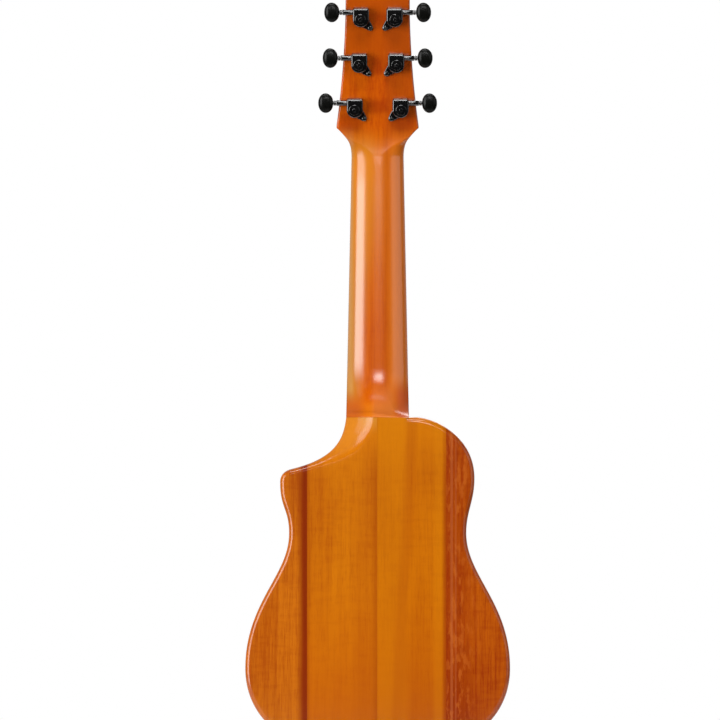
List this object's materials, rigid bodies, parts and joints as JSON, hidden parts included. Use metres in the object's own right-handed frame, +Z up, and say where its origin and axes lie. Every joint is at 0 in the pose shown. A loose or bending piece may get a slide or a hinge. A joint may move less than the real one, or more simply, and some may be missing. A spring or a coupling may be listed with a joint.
{
  "type": "guitalele",
  "caption": "Small short-scale guitar with a carved, chambered body of glued planks, one cutaway, a set neck and worm-geared tuning machines.",
  "frame": {"origin": "centre line of the neck at the front edge of the nut, on the plane of the soundboard's face; a hanger's yoke holds the instrument there under the headstock's flare", "axes": "+Z up along the strings towards the headstock; +Y out of the soundboard; -Y out of the flat back; +X towards the bass side"},
  "size_m": [0.2292, 0.0575, 0.6853],
  "materials": {
    "wing_wood": "gloss varnish over figured red-brown wood",
    "core_wood": "gloss varnish over honey-coloured wood",
    "neck_wood": "gloss orange-brown varnish",
    "spruce": "gloss varnish outside, bare inside",
    "rosewood": "oiled dark wood",
    "bone": "polished bone or plastic",
    "nylon": "smooth nylon",
    "black_metal": "black plating with a soft gloss",
    "black_plastic": "matte black",
    "steel": "plated steel",
    "brass": "cut brass"
  },
  "bodies": {
    "instrument": {"body_wing_treble": "wing_wood", "body_wing_bass": "wing_wood", "body_core_treble": "core_wood", "body_core_bass": "core_wood", "neck": "neck_wood", "soundboard_treble": "spruce", "soundboard_bass": "spruce", "upper_cross_brace": "spruce", "fan_bracing": "spruce", "bridge_plate": "spruce", "rosette": "rosewood", "bridge": "rosewood", "fretboard": "rosewood", "headplate": "rosewood", "nut": "bone", "saddle": "bone", "string_1": "nylon", "tuner_case_1": "black_metal", "bushing_1": "steel", "string_2": "nylon", "tuner_case_2": "black_metal", "bushing_2": "steel", "string_3": "nylon", "tuner_case_3": "black_metal", "bushing_3": "steel", "string_4": "nylon", "tuner_case_4": "black_metal", "bushing_4": "steel", "string_5": "nylon", "tuner_case_5": "black_metal", "bushing_5": "steel", "string_6": "nylon", "tuner_case_6": "black_metal", "bushing_6": "steel"},
    "key_1": {"button_1": "black_plastic", "key_shaft_1": "steel"},
    "string_post_1": {"post_1": "steel", "gear_1": "brass"},
    "key_2": {"button_2": "black_plastic", "key_shaft_2": "steel"},
    "string_post_2": {"post_2": "steel", "gear_2": "brass"},
    "key_3": {"button_3": "black_plastic", "key_shaft_3": "steel"},
    "string_post_3": {"post_3": "steel", "gear_3": "brass"},
    "key_4": {"button_4": "black_plastic", "key_shaft_4": "steel"},
    "string_post_4": {"post_4": "steel", "gear_4": "brass"},
    "key_5": {"button_5": "black_plastic", "key_shaft_5": "steel"},
    "string_post_5": {"post_5": "steel", "gear_5": "brass"},
    "key_6": {"button_6": "black_plastic", "key_shaft_6": "steel"},
    "string_post_6": {"post_6": "steel", "gear_6": "brass"}
  },
  "joints": [
    {"name": "key_1_turn", "type": "hinge", "parent": "instrument", "child": "key_1", "pos_m": [-0.0203, -0.02424, 0.03246], "axis": [-1, 0, 0], "continuous": true},
    {"name": "post_1_turn", "type": "hinge", "parent": "instrument", "child": "string_post_1", "pos_m": [-0.0203, -0.01918, 0.02791], "axis": [0, -0.9781, -0.2079], "continuous": true, "deforming": ["string_1"]},
    {"name": "key_2_turn", "type": "hinge", "parent": "instrument", "child": "key_2", "pos_m": [-0.0164, -0.03247, 0.07119], "axis": [-1, 0, 0], "continuous": true},
    {"name": "post_2_turn", "type": "hinge", "parent": "instrument", "child": "string_post_2", "pos_m": [-0.0164, -0.02742, 0.06665], "axis": [0, -0.9781, -0.2079], "continuous": true, "deforming": ["string_2"]},
    {"name": "key_3_turn", "type": "hinge", "parent": "instrument", "child": "key_3", "pos_m": [-0.015, -0.04081, 0.11042], "axis": [-1, 0, 0], "continuous": true},
    {"name": "post_3_turn", "type": "hinge", "parent": "instrument", "child": "string_post_3", "pos_m": [-0.015, -0.03575, 0.10587], "axis": [0, -0.9781, -0.2079], "continuous": true, "deforming": ["string_3"]},
    {"name": "key_4_turn", "type": "hinge", "parent": "instrument", "child": "key_4", "pos_m": [0.015, -0.04081, 0.11042], "axis": [1, 0, 0], "continuous": true},
    {"name": "post_4_turn", "type": "hinge", "parent": "instrument", "child": "string_post_4", "pos_m": [0.015, -0.03575, 0.10587], "axis": [0, -0.9781, -0.2079], "continuous": true, "deforming": ["string_4"]},
    {"name": "key_5_turn", "type": "hinge", "parent": "instrument", "child": "key_5", "pos_m": [0.0164, -0.03247, 0.07119], "axis": [1, 0, 0], "continuous": true},
    {"name": "post_5_turn", "type": "hinge", "parent": "instrument", "child": "string_post_5", "pos_m": [0.0164, -0.02742, 0.06665], "axis": [0, -0.9781, -0.2079], "continuous": true, "deforming": ["string_5"]},
    {"name": "key_6_turn", "type": "hinge", "parent": "instrument", "child": "key_6", "pos_m": [0.0203, -0.02424, 0.03246], "axis": [1, 0, 0], "continuous": true},
    {"name": "post_6_turn", "type": "hinge", "parent": "instrument", "child": "string_post_6", "pos_m": [0.0203, -0.01918, 0.02791], "axis": [0, -0.9781, -0.2079], "continuous": true, "deforming": ["string_6"]}
  ],
  "couplings": [
    {"joint": "post_1_turn", "follows": "key_1_turn", "ratio": 0.071429},
    {"joint": "post_2_turn", "follows": "key_2_turn", "ratio": 0.071429},
    {"joint": "post_3_turn", "follows": "key_3_turn", "ratio": 0.071429},
    {"joint": "post_4_turn", "follows": "key_4_turn", "ratio": 0.071429},
    {"joint": "post_5_turn", "follows": "key_5_turn", "ratio": 0.071429},
    {"joint": "post_6_turn", "follows": "key_6_turn", "ratio": 0.071429}
  ]
}
